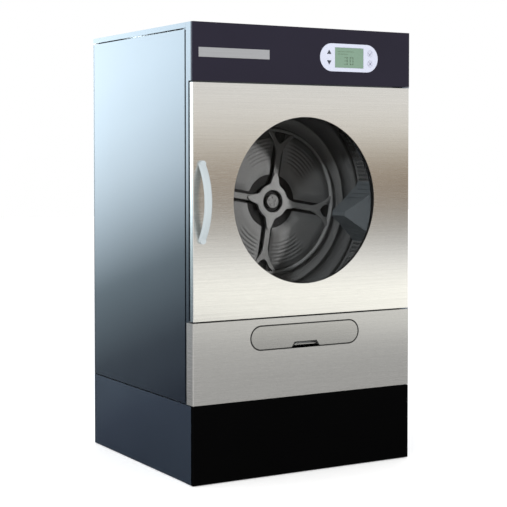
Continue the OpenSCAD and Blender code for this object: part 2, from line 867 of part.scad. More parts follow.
module handle_screws()
    color("silver") for (up = [-1, 1]) {
        z = door_mid + up * (handle_h / 2 - 12);
        y_disc(8, [front + sheet, front + sheet + 5], handle_x, z);
    }

base_frame();
levelling_feet();
plinth_front_panel();
plinth_left_panel();
plinth_right_panel();
front_posts();
left_side_panel();
right_side_panel();
top_cover();
rear_panel();
front_bulkhead();
control_housing();
control_fascia();
control_bezel();
lcd_screen();
control_board();
lower_front_panel();
filter_guides();
drum_casing();
drum_front_seal();
rear_bulkhead();
bearing_housing();
drum_bearings();
gearmotor();
drum_belt();
fan_housing();
fan_motor();
exhaust_collar();
heater_box();
heater_elements();
hinge_brackets();
hinge_pins();
door_keeper();
terminal_box();
cable_gland();
door_skin();
door_inner_pan();
hinge_blocks();
window_glass();
inner_glass();
window_seal();
door_gasket();
door_handle();
handle_screws();
drum_shell();
drum_back();
drum_spider();
hub_cap();
drum_lifters();
drum_shaft();
drum_pulley();
motor_pulley();
fan_impeller();
key_up();
key_down();
key_confirm();
key_cancel();
filter_flap();
filter_tray();
filter_mesh();
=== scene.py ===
"""Industrial tumble dryer: the visual model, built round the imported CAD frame."""

import json
import math

import bpy
from mathutils import Matrix, Vector


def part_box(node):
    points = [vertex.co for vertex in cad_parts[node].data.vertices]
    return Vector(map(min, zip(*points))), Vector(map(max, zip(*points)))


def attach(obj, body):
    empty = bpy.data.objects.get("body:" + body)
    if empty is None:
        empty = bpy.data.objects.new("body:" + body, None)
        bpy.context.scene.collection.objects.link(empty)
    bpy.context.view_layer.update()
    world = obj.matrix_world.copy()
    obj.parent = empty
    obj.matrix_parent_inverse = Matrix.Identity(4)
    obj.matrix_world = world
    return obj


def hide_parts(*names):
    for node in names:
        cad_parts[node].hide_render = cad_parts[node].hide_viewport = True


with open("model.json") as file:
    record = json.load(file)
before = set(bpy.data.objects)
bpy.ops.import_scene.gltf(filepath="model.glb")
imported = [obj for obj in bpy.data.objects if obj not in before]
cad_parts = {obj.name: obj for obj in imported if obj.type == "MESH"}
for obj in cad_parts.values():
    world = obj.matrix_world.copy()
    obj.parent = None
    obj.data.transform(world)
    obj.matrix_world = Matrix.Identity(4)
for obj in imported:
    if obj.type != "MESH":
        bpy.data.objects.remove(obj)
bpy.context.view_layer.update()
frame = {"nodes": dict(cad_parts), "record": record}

# ---- places and sizes, in metres, taken from the frame ----

FULL = 2 * math.pi
MM = 0.001


def span(node, axis):
    """Lowest and highest value of a node along one axis."""
    low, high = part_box(node)
    return low[axis], high[axis]


def middle(node, axis):
    return sum(span(node, axis)) / 2


half_w = span("top_cover", 0)[1]
cab_top = span("top_cover", 2)[1]
front = span("door_skin", 1)[0]
rear = span("rear_panel", 1)[1]
axis_z = middle("drum_shaft", 2)
window_r = span("window_glass", 0)[1] - 13 * MM
window_z = middle("window_glass", 2)
drum_r = span("drum_shell", 0)[1] - 2 * MM
drum_front, drum_rim = span("drum_shell", 1)
hub_y = span("drum_shaft", 1)[0] + 10 * MM
ring_r = 294 * MM
bezel_x = middle("control_bezel", 0)
bezel_z = middle("control_bezel", 2)
key_right = middle("key_confirm", 0)


# ---- materials ----

GRAIN_DEPTH = 0.4 * MM


def principled(name, colour, **sockets):
    """A material with one principled shader; returns the material, its node tree and the shader."""
    mat = bpy.data.materials.new(name)
    mat.use_nodes = True
    tree = mat.node_tree
    shader = tree.nodes["Principled BSDF"]
    shader.inputs["Base Color"].default_value = (*colour, 1)
    for socket, value in sockets.items():
        shader.inputs[socket.replace("_", " ")].default_value = value
    return mat, tree, shader


def noise(tree, scale, stretch=(1, 1, 1), detail=3.0, kind="ShaderNodeTexNoise"):
    """A texture in object space, stretched along the axes; returns its value socket."""
    coords = tree.nodes.new("ShaderNodeTexCoord")
    mapping = tree.nodes.new("ShaderNodeMapping")
    mapping.inputs["Scale"].default_value = stretch
    tex = tree.nodes.new(kind)
    tex.inputs["Scale"].default_value = scale
    tree.links.new(coords.outputs["Object"], mapping.inputs["Vector"])
    tree.links.new(mapping.outputs["Vector"], tex.inputs["Vector"])
    if kind == "ShaderNodeTexNoise":
        tex.inputs["Detail"].default_value = detail
        return tex.outputs["Fac"]
    return tex.outputs["Distance"]


def to_range(tree, source, low, high):
    """Maps a texture value onto low to high."""
    ranged = tree.nodes.new("ShaderNodeMapRange")
    ranged.inputs["From Min"].default_value = 0.3
    ranged.inputs["From Max"].default_value = 0.7
    ranged.inputs["To Min"].default_value = low
    ranged.inputs["To Max"].default_value = high
    tree.links.new(source, ranged.inputs["Value"])
    return ranged.outputs["Result"]


def vary_roughness(tree, shader, source, low, high):
    """Roughness that follows a texture value."""
    tree.links.new(to_range(tree, source, low, high), shader.inputs["Roughness"])


def vary_colour(tree, shader, source, dark, light):
    """Base colour that follows a texture value, from dark to light."""
    ramp = tree.nodes.new("ShaderNodeValToRGB")
    ramp.color_ramp.elements[0].position = 0.3
    ramp.color_ramp.elements[1].position = 0.7
    ramp.color_ramp.elements[0].color = (*dark, 1)
    ramp.color_ramp.elements[1].color = (*light, 1)
    tree.links.new(source, ramp.inputs["Fac"])
    tree.links.new(ramp.outputs["Color"], shader.inputs["Base Color"])


def add_bump(tree, shader, source, strength, distance):
    """Relief that follows a texture value."""
    bump = tree.nodes.new("ShaderNodeBump")
    bump.inputs["Strength"].default_value = strength
    bump.inputs["Distance"].default_value = distance
    tree.links.new(source, bump.inputs["Height"])
    tree.links.new(bump.outputs["Normal"], shader.inputs["Normal"])


def scaled(colour, factor):
    """A colour made lighter or darker."""
    return tuple(min(1.0, c * factor) for c in colour)


def metal(name, colour, rough, stretch=(1, 1, 1), grain=40.0, bump=0.05, **sockets):
    """Bare metal whose roughness, colour and relief share one grain, stretched along the axes."""
    mat, tree, shader = principled(name, colour, **{"Metallic": 1.0, **sockets})
    fine = noise(tree, grain, stretch)
    vary_roughness(tree, shader, fine, rough - 0.06, rough + 0.06)
    vary_colour(tree, shader, noise(tree, grain / 6, stretch), scaled(colour, 0.95), scaled(colour, 1.04))
    add_bump(tree, shader, fine, bump, GRAIN_DEPTH)
    return mat


def paint(name, colour, rough, grain=60.0, bump=0.04, depth=GRAIN_DEPTH, shade=0.06, **sockets):
    """Paint, plastic or rubber: broad changes of shade and gloss, and a fine grain."""
    mat, tree, shader = principled(name, colour, **sockets)
    vary_roughness(tree, shader, noise(tree, 9.0), rough - 0.05, rough + 0.05)
    vary_colour(tree, shader, noise(tree, 3.5), scaled(colour, 1 - shade), scaled(colour, 1 + shade))
    add_bump(tree, shader, noise(tree, grain), bump, depth)
    return mat


def galvanised_zinc(name, colour):
    """Zinc-coated sheet with a faint spangle."""
    mat, tree, shader = principled(name, colour, Metallic=0.9)
    spangle = noise(tree, 95.0, kind="ShaderNodeTexVoronoi")
    vary_colour(tree, shader, spangle, scaled(colour, 0.92), scaled(colour, 1.03))
    vary_roughness(tree, shader, spangle, 0.38, 0.46)
    add_bump(tree, shader, noise(tree, 220.0), 0.04, 0.0003)
    return mat


BRUSHED_ACROSS = (1.5, 1.5, 240)


def brushed(name, brightness, metallic=1.0):
    """Stainless sheet brushed from side to side; a brightness below 1 makes a darker copy, which is painted
    shade.
    """
    colour = scaled((0.74, 0.73, 0.70), brightness)
    return metal(name, colour, 0.24, stretch=BRUSHED_ACROSS, grain=12, bump=0.05, Metallic=metallic)


def slate(name, colour):
    """Glossy slate enamel."""
    return paint(name, colour, 0.18, grain=420, bump=0.03,
                 Metallic=0.55, Coat_Weight=1.0, Coat_Roughness=0.12)


MATERIALS = {
    "cabinet_slate": slate("cabinet_slate", (0.030, 0.041, 0.056)),
    "plinth_black": paint("plinth_black", (0.0006, 0.0006, 0.0007), 0.5, grain=300, bump=0.08,
                          Specular_IOR_Level=0.03),
    "stainless": brushed("stainless", 1.0),
    "galvanised": galvanised_zinc("galvanised", (0.50, 0.52, 0.54)),
    "fascia_dark": paint("fascia_dark", (0.0135, 0.0115, 0.0235), 0.42, grain=700, bump=0.06,
                         Specular_IOR_Level=0.15),
    "bezel_white": paint("bezel_white", (0.56, 0.585, 0.70), 0.45, grain=900, bump=0.05, shade=0.02),
    "lcd": paint("lcd", (0.175, 0.275, 0.20), 0.22, grain=500, bump=0.01, shade=0.03),
    "circuit_board": paint("circuit_board", (0.02, 0.12, 0.05), 0.4),
    "felt": paint("felt", (0.10, 0.095, 0.09), 0.95, grain=900, bump=0.5, depth=0.001),
    "cast_metal": paint("cast_metal", (0.09, 0.10, 0.115), 0.5, grain=260, bump=0.2, Metallic=0.3),
    "bright_steel": metal("bright_steel", (0.62, 0.62, 0.63), 0.25, grain=160),
    "black_rubber": paint("black_rubber", (0.010, 0.010, 0.010), 0.7, grain=500, bump=0.15),
    "element": metal("element", (0.25, 0.17, 0.12), 0.45, grain=120),
    "grey_plastic": paint("grey_plastic", (0.17, 0.175, 0.18), 0.55, grain=800, bump=0.12),
    "black_plastic": paint("black_plastic", (0.012, 0.012, 0.012), 0.5, grain=800, bump=0.12),
    "handle_silver": paint("handle_silver", (0.44, 0.49, 0.51), 0.42, grain=500, bump=0.03, shade=0.03,
                           Specular_IOR_Level=0.35),
    "drum_steel": paint("drum_steel", (0.15, 0.15, 0.148), 0.36, grain=90, bump=0.05, Metallic=0.5),
    "key_dark": paint("key_dark", (0.030, 0.036, 0.055), 0.4, grain=700, bump=0.05),
    "key_pale": paint("key_pale", (0.53, 0.55, 0.66), 0.45, grain=900, bump=0.05, shade=0.02),
    "mesh": metal("mesh", (0.30, 0.30, 0.30), 0.5, grain=300, bump=0.3),
}


def window_pane():
    """Clear dark glass that lets most light through."""
    mat, tree, shader = principled("window_glass", (0, 0, 0), Alpha=0.15, Specular_IOR_Level=0.15)
    vary_roughness(tree, shader, noise(tree, 6.0), 0.03, 0.06)
    mat.surface_render_method = "DITHERED"
    return mat


MATERIALS["window_glass"] = window_pane()
PLINTH_SLATE = slate("plinth_slate", (0.060, 0.082, 0.115))
# the lower panel and the filter flap get darker copies of the door's stainless: painted shade
NODE_MATERIALS = {"lower_front_panel": brushed("stainless_lower_painted_shade", 0.62, 0.6),
                  "filter_flap": brushed("stainless_flap_painted_shade", 0.58, 0.8),
                  "plinth_left_panel": PLINTH_SLATE, "plinth_right_panel": PLINTH_SLATE,
                  "hinge_brackets": PLINTH_SLATE}
ICON_GREY = paint("icon_grey", (0.36, 0.37, 0.47), 0.5, grain=700, bump=0.02, shade=0.02)
DIGIT_GREEN = paint("digit_green", (0.125, 0.20, 0.135), 0.35, grain=500, bump=0.01, shade=0.02)

for entry in frame["record"]["subparts"]:
    node = frame["nodes"][entry["node"]]
    material = NODE_MATERIALS.get(entry["node"], MATERIALS[entry["material_slot"]])
    if not node.material_slots:
        node.data.materials.append(material)
    for material_slot in node.material_slots:
        material_slot.material = material


# ---- building pieces ----

DRUM_PIECES = bpy.data.collections.new("drum_pieces")


def piece(name, body, slot, shape, replaces=(), bevel=0.0, smooth=True, material=None):
    """A mesh piece made from a shape, which rides on a body."""
    mesh = bpy.data.meshes.new(name)
    mesh.from_pydata([tuple(v) for v in shape.verts], [], shape.faces)
    mesh.validate()
    mesh.update()
    obj = bpy.data.objects.new(name, mesh)
    bpy.context.scene.collection.objects.link(obj)
    mesh.materials.append(material or MATERIALS[slot])
    mesh.shade_smooth() if smooth else mesh.shade_flat()
    if bevel:
        modifier = obj.modifiers.new("edges", "BEVEL")
        modifier.width = bevel
        modifier.segments = 3
        modifier.limit_method = "ANGLE"
        modifier.angle_limit = math.radians(35)
        modifier.harden_normals = True
    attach(obj, body)
    if replaces:
        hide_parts(*replaces)
    if body == "drum":
        DRUM_PIECES.objects.link(obj)
    return obj


class Shape:
    """Vertices and faces gathered from several simple parts."""

    def __init__(self):
        self.verts, self.faces = [], []

    def add(self, verts, faces, move=Matrix.Identity(4)):
        base = len(self.verts)
        self.verts += [move @ Vector(v) for v in verts]
        self.faces += [tuple(base + i for i in face) for face in faces]
        return self

    def prism(self, outline, y, move=Matrix.Identity(4)):
        """An outline of (x, z) points made solid between two values of Y."""
        count = len(outline)
        verts = [(x, y[0], z) for x, z in outline] + [(x, y[1], z) for x, z in outline]
        faces = [tuple(range(count)), tuple(range(2 * count - 1, count - 1, -1))]
        faces += [(i, i + count, (i + 1) % count + count, (i + 1) % count) for i in range(count)]
        return self.add(verts, faces, move)

    def lathe(self, profile, segments=48, move=Matrix.Identity(4)):
        """A profile of (radius, y) points turned about the Y axis."""
        verts = [(r * math.cos(FULL * s / segments), y, r * math.sin(FULL * s / segments))
                 for r, y in profile for s in range(segments)]
        faces = []
        for a in range(0, (len(profile) - 1) * segments, segments):
            b = a + segments
            faces += [(a + s, b + s, b + (s + 1) % segments, a + (s + 1) % segments) for s in range(segments)]
        return self.add(verts, faces, move)


def at(x, y, z):
    return Matrix.Translation((x, y, z))


DRUM_PLACE = at(0, 0, axis_z)


def holed_grid(columns, rows, place, hole, wrap=False):
    """Cells that place(u, v) puts in space; hole(i, j) is the share of a cell that its hole takes."""
    shape = Shape()
    index = {}

    def vertex(i, j):
        key = (i % (2 * columns) if wrap else i, j)
        if key not in index:
            index[key] = len(shape.verts)
            shape.verts.append(Vector(place(i / (2 * columns), j / (2 * rows))))
        return index[key]

    around = [(0, 0), (1, 0), (2, 0), (2, 1), (2, 2), (1, 2), (0, 2), (0, 1)]
    for i in range(columns):
        for j in range(rows):
            edge = [vertex(2 * i + a, 2 * j + b) for a, b in around]
            size = hole(i, j)
            if not size:
                shape.faces.append(tuple(edge))
                continue
            base = len(shape.verts)
            for a, b in around:
                reach = size / math.hypot(a - 1, b - 1)
                shape.verts.append(Vector(place((2 * i + 1 + (a - 1) * reach) / (2 * columns),
                                                (2 * j + 1 + (b - 1) * reach) / (2 * rows))))
            shape.faces += [(edge[k], edge[(k + 1) % 8], base + (k + 1) % 8, base + k) for k in range(8)]
    return shape


# ---- drum ----

dish_y = hub_y + 4 * MM
cone_end = drum_rim - 6 * MM
cone_lean = (cone_end - dish_y) / (drum_r - 12 * MM - ring_r)
mouth_r = 362 * MM
dome_rise = 17 * MM
dish_outer = ring_r - 13 * MM
arm_count = 4
arm_turn = math.radians(9.5)


def build_drum_wall():
    """The drum's perforated wall, with plain bands at both ends, and its front flange."""
    rows, columns = 14, 162
    depth = drum_rim - drum_front

    def place(u, v):
        rib = 2.5 * MM * (0.5 + 0.5 * math.cos(FULL * v * 2)) ** 8
        r = drum_r - rib
        return r * math.sin(FULL * u), drum_front + v * depth, axis_z + r * math.cos(FULL * u)

    def hole(i, j):
        near_rib = j in (6, 7)
        near_seam = i % 27 == 0
        return 0 if near_rib or near_seam or j in (0, rows - 1) else 0.68

    wall = holed_grid(columns, rows, place, hole, wrap=True)
    flange = [(drum_r, drum_front), (mouth_r + 6 * MM, drum_front), (mouth_r + 2 * MM, drum_front + 2 * MM),
              (mouth_r, drum_front + 6 * MM), (mouth_r, drum_front + 12 * MM),
              (mouth_r + 2 * MM, drum_front + 12 * MM), (mouth_r + 3 * MM, drum_front + 5 * MM),
              (drum_r, drum_front + 2 * MM)]
    wall.lathe(flange, 96, DRUM_PLACE)
    piece("drum_wall", "drum", "drum_steel", wall, replaces=["drum_shell"])


def build_drum_back():
    """The backing sheet (painted near-black as the shade seen between the domes and arms), the raised ring
    and the stepped cone out to the rim.
    """
    backing = Shape()
    backing.lathe([(55 * MM, dish_y + 1 * MM), (dish_outer + 2 * MM, dish_y + 1 * MM)], 96, DRUM_PLACE)
    # the backing is painted near-black as the shade seen between the domes and arms and through their slots
    piece("drum_backing", "drum", "drum_steel", backing, replaces=["drum_back"],
          material=PAINTED_SHADE_STEEL)
    ring = Shape()
    ring.lathe([(dish_outer, dish_y + 2 * MM), (dish_outer + 1 * MM, dish_y - 11 * MM),
                (ring_r - 9 * MM, dish_y - 14 * MM), (ring_r - 4 * MM, dish_y - 14 * MM),
                (ring_r, dish_y - 10 * MM), (ring_r + 0.5 * MM, dish_y + 1 * MM)], 128, DRUM_PLACE)
    piece("drum_ring", "drum", "drum_steel", ring, material=SPIDER_STEEL)
    cone = Shape()
    step_r = 345 * MM
    step_y = dish_y + cone_lean * (step_r - ring_r)
    cone.lathe([(ring_r, dish_y), (step_r - 10 * MM, step_y - 1 * MM), (step_r - 3 * MM, step_y - 7 * MM),
                (step_r + 2 * MM, step_y - 8 * MM), (step_r + 5 * MM, step_y - 5 * MM),
                (step_r + 7 * MM, step_y + 1 * MM),
                (drum_r - 34 * MM, cone_end - 5 * MM), (drum_r - 26 * MM, cone_end - 10 * MM),
                (drum_r - 18 * MM, cone_end - 10 * MM), (drum_r - 10 * MM, cone_end - 2 * MM),
                (drum_r - 2 * MM, cone_end), (drum_r - 1 * MM, drum_rim)], 128, DRUM_PLACE)
    piece("drum_cone", "drum", "drum_steel", cone)


def build_domes():
    """Four domed pressings between the spider's arms, each with a rippled and slotted field at one end."""
    quarter = FULL / arm_count
    inner, outer = 108 * MM, dish_outer
    columns, rows = 24, 24
    domes = Shape()
    for quadrant in range(arm_count):
        centre = arm_turn + (quadrant + 0.5) * quarter

        def from_end(u):
            return u if quadrant % 2 == 0 else 1 - u

        def place(u, v):
            r = inner + v * (outer - inner)
            half = quarter / 2 - math.asin(24 * MM / r)
            angle = centre + (2 * u - 1) * half
            to_side = half * min(u, 1 - u) * 2 * r
            to_edge = min(v, 1 - v) * (outer - inner)
            slopes = (math.sin(min(1.0, d / (42 * MM)) * math.pi / 2) for d in (to_side, to_edge))
            rise = dome_rise * math.prod(slopes) ** 0.8
            fade = max(0.0, min(1.0, (0.58 - from_end(u)) * 6)) * min(1.0, rise / dome_rise)
            ripple = 1.3 * MM * math.cos(FULL * v * rows / 2) * fade * (0.3 < v < 0.85)
            return r * math.sin(angle), dish_y - rise - ripple, axis_z + r * math.cos(angle)

        def hole(i, j):
            slotted = 8 <= j < 20 and j % 2 == 0 and 0.1 < from_end((i + 0.5) / columns) < 0.5
            return 0.44 if slotted else 0

        pressed = holed_grid(columns, rows, place, hole)
        domes.add(pressed.verts, pressed.faces)
    piece("drum_domes", "drum", "drum_steel", domes)


def build_spider():
    """Four recessed arms with forked outer ends, and the bright star-shaped hub in front of them."""
    arms = Shape()
    half_arm = [(12, 50), (12, 190), (17, 212), (36, 246), (66, 277),
                (50, 281), (28, 261), (13, 242), (0, 234)]
    outline = [(x * MM, z * MM) for x, z in half_arm]
    outline += [(-x, z) for x, z in reversed(outline[:-1])]
    for arm in range(arm_count):
        turn = Matrix.Rotation(arm_turn + arm * FULL / arm_count, 4, "Y")
        arms.prism(outline, [hub_y - 8 * MM, hub_y + 2 * MM], DRUM_PLACE @ turn)
    piece("spider_arms", "drum", "drum_steel", arms, replaces=["drum_spider"], bevel=2.5 * MM,
          material=ARM_STEEL)
    star = Shape()
    points = 96
    star_front, star_back = hub_y - 12 * MM, hub_y + 2 * MM
    bore, ridge = 45 * MM, 62 * MM

    def tips(angle):
        return (69 + 47 * abs(math.cos(2 * (angle - arm_turn))) ** 13) * MM

    def loop(reach, y):
        angles = [FULL * k / points for k in range(points)]
        return [(reach(a) * math.sin(a), y, reach(a) * math.cos(a)) for a in angles]

    verts = loop(tips, star_front) + loop(tips, star_back)
    verts += loop(lambda a: bore, star_front - 2 * MM) + loop(lambda a: bore, star_back)
    verts += loop(lambda a: ridge, star_front - 3 * MM)
    faces = []
    for k in range(points):
        n = (k + 1) % points
        faces += [(k, n, n + points, k + points), (k, k + 4 * points, n + 4 * points, n),
                  (k + 4 * points, k + 2 * points, n + 2 * points, n + 4 * points),
                  (k + 2 * points, k + 3 * points, n + 3 * points, n + 2 * points)]
    star.add(verts, faces, DRUM_PLACE)
    piece("hub_star", "drum", "drum_steel", star, bevel=1.2 * MM, material=SPIDER_STEEL)


def build_hub_cap():
    """A cap with five small bolts, in the middle of a recess painted near-black as shade."""
    recess = Shape()
    # the recess ring is painted near-black as shade
    recess.lathe([(45.5 * MM, hub_y - 2 * MM), (25 * MM, hub_y - 1 * MM)], 48, DRUM_PLACE)
    piece("hub_recess", "drum", "drum_steel", recess, material=PAINTED_SHADE_STEEL)
    cap = Shape()
    face = hub_y - 14 * MM
    cap.lathe([(27 * MM, hub_y), (27 * MM, face + 1.5 * MM), (25.5 * MM, face), (7 * MM, face),
               (6 * MM, face + 1 * MM), (0.1 * MM, face + 1 * MM)], 48, DRUM_PLACE)
    piece("hub_cover", "drum", "bright_steel", cap, replaces=["hub_cap"], smooth=False,
          material=ARM_STEEL)
    bolts = Shape()
    bolt_count, bolt_circle = 5, 16 * MM
    bolt_face = face - 3 * MM
    profile = [(0.1 * MM, bolt_face), (3 * MM, bolt_face), (3.5 * MM, bolt_face + 0.6 * MM), (3.5 * MM, face)]
    for bolt in range(bolt_count):
        turn = FULL * bolt / bolt_count + 0.3
        bolts.lathe(profile, 6, at(bolt_circle * math.cos(turn), 0, axis_z + bolt_circle * math.sin(turn)))
    piece("hub_bolts", "drum", "bright_steel", bolts, smooth=False, material=SPIDER_STEEL)


def build_lifters():
    """Three hollow triangular wedges along the wall, slotted near it, with front ends that slope to it."""
    lifters = Shape()
    crest, half, crest_lean = 296 * MM, 124 * MM, 20 * MM
    shoulder, nose = front + 165 * MM, drum_front + 18 * MM
    columns, rows = 12, 14

    def flank(side, u, v):
        x = side * half + v * (crest_lean + side * 8 * MM - side * half)
        base = math.sqrt((drum_r - 1 * MM) ** 2 - x ** 2)
        r = base + (crest - base) * v
        start = nose + (shoulder - nose) * v
        end = dish_y + cone_lean * (math.hypot(x, r) - ring_r) - 2 * MM
        return x, start + u * (end - start), r

    def slot(i, j):
        return 0.44 if j % 2 and j < rows * 0.6 and 0 < i < columns - 1 else 0

    for i in range(3):
        turn = DRUM_PLACE @ Matrix.Rotation(math.radians(96.5 + 120 * i), 4, "Y")
        for side in (-1, 1):
            sheet = holed_grid(columns, rows, lambda u, v: flank(side, u, v), slot)
            lifters.add(sheet.verts, sheet.faces, turn)
        ends = [flank(side, 0, k / rows) for k in range(rows + 1) for side in (-1, 1)]
        lifters.add(ends, [(2 * k, 2 * k + 1, 2 * k + 3, 2 * k + 2) for k in range(rows)], turn)
        ridge = [flank(side, u, 1) for u in (0, 1) for side in (-1, 1)]
        lifters.add(ridge, [(0, 1, 3, 2)], turn)
    piece("lifter_set", "drum", "drum_steel", lifters, replaces=["drum_lifters"], smooth=False,
          material=LIFTER_STEEL)


SPIDER_STEEL = paint("spider_steel", (0.20, 0.20, 0.197), 0.42, grain=300, bump=0.05, Metallic=0.4)
ARM_STEEL = paint("arm_steel", (0.15, 0.15, 0.147), 0.42, grain=300, bump=0.05, Metallic=0.4)
LIFTER_STEEL = paint("lifter_steel", (0.12, 0.132, 0.14), 0.4, grain=300, bump=0.05, Metallic=0.4)
# near-black steel for the backing and the hub's recess: painted shade in gaps and hollows of the drum
PAINTED_SHADE_STEEL = paint("painted_shade_steel", (0.012, 0.012, 0.012), 0.6, grain=200, bump=0.1, Metallic=0.3)
build_drum_wall()
build_drum_back()
build_domes()
build_spider()
build_hub_cap()
build_lifters()


# ---- controls ----

def strokes(shape, segments, width, y):
    """Flat bars between pairs of (x, z) points."""
    for (x0, z0), (x1, z1) in segments:
        run = Vector((x1 - x0, z1 - z0)).normalized()
        side = Vector((-run.y, run.x)) * width / 2
        ends = [Vector((x0, z0)) - run * width / 3, Vector((x1, z1)) + run * width / 3]
        shape.prism([ends[0] + side, ends[1] + side, ends[1] - side, ends[0] - side], y)


def build_key_marks():
    """A tick on the confirm key and a cross on the cancel key."""
    key_face = span("key_confirm", 1)[0]
    depth = [key_face - 0.5 * MM, key_face + 0.3 * MM]
    stroke = 3.6 * MM
    up, down = middle("key_confirm", 2), middle("key_cancel", 2)
    check = Shape()
    corner = (key_right - 2 * MM, up - 6 * MM)
    strokes(check, [((key_right - 7.5 * MM, up + 0.5 * MM), corner),
                    (corner, (key_right + 8 * MM, up + 6.5 * MM))], stroke, depth)
    piece("check_mark", "confirm_key", "key_pale", check, smooth=False, material=ICON_GREY)
    cross = Shape()
    reach = 6 * MM
    strokes(cross, [((key_right - reach, down - reach), (key_right + reach, down + reach)),
                    ((key_right - reach, down + reach), (key_right + reach, down - reach))], stroke, depth)
    piece("cross_mark", "cancel_key", "key_pale", cross, smooth=False, material=ICON_GREY)


SEGMENTS = {"a": ((0, 2), (1, 2)), "b": ((1, 2), (1, 1)), "c": ((1, 1), (1, 0)), "d": ((0, 0), (1, 0)),
            "e": ((0, 1), (0, 0)), "f": ((0, 2), (0, 1)), "g": ((0, 1), (1, 1))}
DIGITS = {"0": "abcdef", "3": "abgcd"}


def build_readout():
    """Two figures and two short lines on the screen, and a rim round it."""
    face = span("lcd_screen", 1)[0]
    ink = [face - 0.4 * MM, face + 0.3 * MM]
    readout = Shape()
    size = 13 * MM
    for place, digit in enumerate("30"):
        x = bezel_x - 22 * MM + place * 27 * MM
        z = bezel_z - 25 * MM
        bars = [tuple((x + px * size, z + pz * size) for px, pz in SEGMENTS[s]) for s in DIGITS[digit]]
        strokes(readout, bars, 3.2 * MM, ink)
    for row in range(2):
        z = bezel_z + (14 + 10 * row) * MM
        strokes(readout, [((bezel_x - 52 * MM, z), (bezel_x - (6 - 26 * row) * MM, z))], 2.4 * MM, ink)
    piece("screen_figures", "cabinet", "lcd", readout, smooth=False, material=DIGIT_GREEN)
    rim = Shape()
    low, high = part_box("lcd_screen")
    edge = 1.6 * MM
    corners = [(low.x, low.z), (high.x, low.z), (high.x, high.z), (low.x, high.z)]
    strokes(rim, list(zip(corners, corners[1:] + corners[:1])), edge, [front - 2.1 * MM, front - 0.2 * MM])
    piece("screen_rim", "cabinet", "bezel_white", rim, smooth=False, bevel=0.5 * MM)


def build_badge():
    """A plain blank nameplate with rounded edges, at the left of the fascia."""
    plate = Shape()
    left, right = -half_w + 25.5 * MM, -half_w + 328.5 * MM
    low, high = bezel_z - 19 * MM, bezel_z + 17 * MM
    corners = [(left, low), (right, low), (right, high), (left, high)]
    plate.prism(corners, [front - 1.2 * MM, front + 0.5 * MM])
    piece("name_plate", "cabinet", "fascia_dark", plate, bevel=0.6 * MM, material=PLATE_SILVER)


PLATE_SILVER = metal("plate_silver", (0.50, 0.51, 0.53), 0.35, stretch=BRUSHED_ACROSS, grain=12)
build_key_marks()
build_readout()
build_badge()


# ---- fixings, louvres and small fittings ----

def screw_heads(name, places, normal, size=5 * MM):
    """Pan heads of the given radius with a hexagonal socket, facing along the normal."""
    heads = Shape()
    turn = Vector((0, -1, 0)).rotation_difference(Vector(normal)).to_matrix().to_4x4()
    for place in places:
        move = Matrix.Translation(place) @ turn
        heads.lathe([(0.1 * MM, -0.1 * size), (0.42 * size, -0.1 * size)], 6, move)
        heads.lathe([(0.42 * size, -0.1 * size), (0.42 * size, -0.5 * size)], 6, move)
        heads.lathe([(0.44 * size, -0.5 * size), (0.75 * size, -0.45 * size), (0.95 * size, -0.25 * size),
                     (size, 0)], 20, move)
    piece(name, "cabinet", "bright_steel", heads, smooth=False)


def build_louvre_hoods():
    """Pressed hoods over the rear panel's slots, in two upper and two lower columns."""
    hoods = Shape()
    pitch = 22 * MM
    slots = [(x, 1330 * MM + pitch * row) for row in range(9) for x in (-150 * MM, 150 * MM)]
    slots += [(x, 110 * MM + pitch * row) for row in range(4) for x in (-260 * MM, 260 * MM)]
    half, tall, out = 102 * MM, 9 * MM, 6 * MM
    for x, z in slots:
        def place(u, v):
            bulge = out * math.sin(math.pi * u) ** 0.4 * math.sin(math.pi / 2 * (1 - v))
            height = z - 4 * MM + tall * (1 - math.cos(math.pi / 2 * v)) + 6 * MM * v
            return x + half * (2 * u - 1), rear + bulge, height

        hood = holed_grid(16, 4, place, lambda i, j: 0)
        hoods.add(hood.verts, [face[::-1] for face in hood.faces])
    piece("louvre_hoods", "cabinet", "galvanised", hoods)


def build_screws():
    """Screws of the rear panel, the exhaust collar, the terminal box and the top cover."""
    heights = (0.05, 0.30, 0.60, 0.90, 1.20, 1.50, 1.66)
    rear_places = [(sx * (half_w - 12 * MM), rear, z) for sx in (-1, 1) for z in heights]
    rear_places += [(x, rear, z) for x in (-0.25, 0.0, 0.25) for z in (0.02, 1.67)]
    screw_heads("rear_screws", rear_places, (0, 1, 0))
    collar_z, screw_circle, collar_screws = middle("exhaust_collar", 2), 111 * MM, 8
    turns = [FULL * k / collar_screws for k in range(collar_screws)]
    collar_places = [(screw_circle * math.cos(turn), rear + 2 * MM, collar_z + screw_circle * math.sin(turn))
                     for turn in turns]
    screw_heads("collar_screws", collar_places, (0, 1, 0), size=4 * MM)
    box_x, box_z, box_face = middle("terminal_box", 0), middle("terminal_box", 2), span("terminal_box", 1)[1]
    screw_heads("terminal_screws", [(box_x + sx * 62 * MM, box_face, box_z + sz * 42 * MM)
                                    for sx in (-1, 1) for sz in (-1, 1)], (0, 1, 0), size=4 * MM)
    cover_places = [(x, rear - 25 * MM, cab_top) for x in (-0.44, -0.22, 0.0, 0.22, 0.44)]
    screw_heads("cover_screws", cover_places, (0, 0, 1))


build_screws()
build_louvre_hoods()


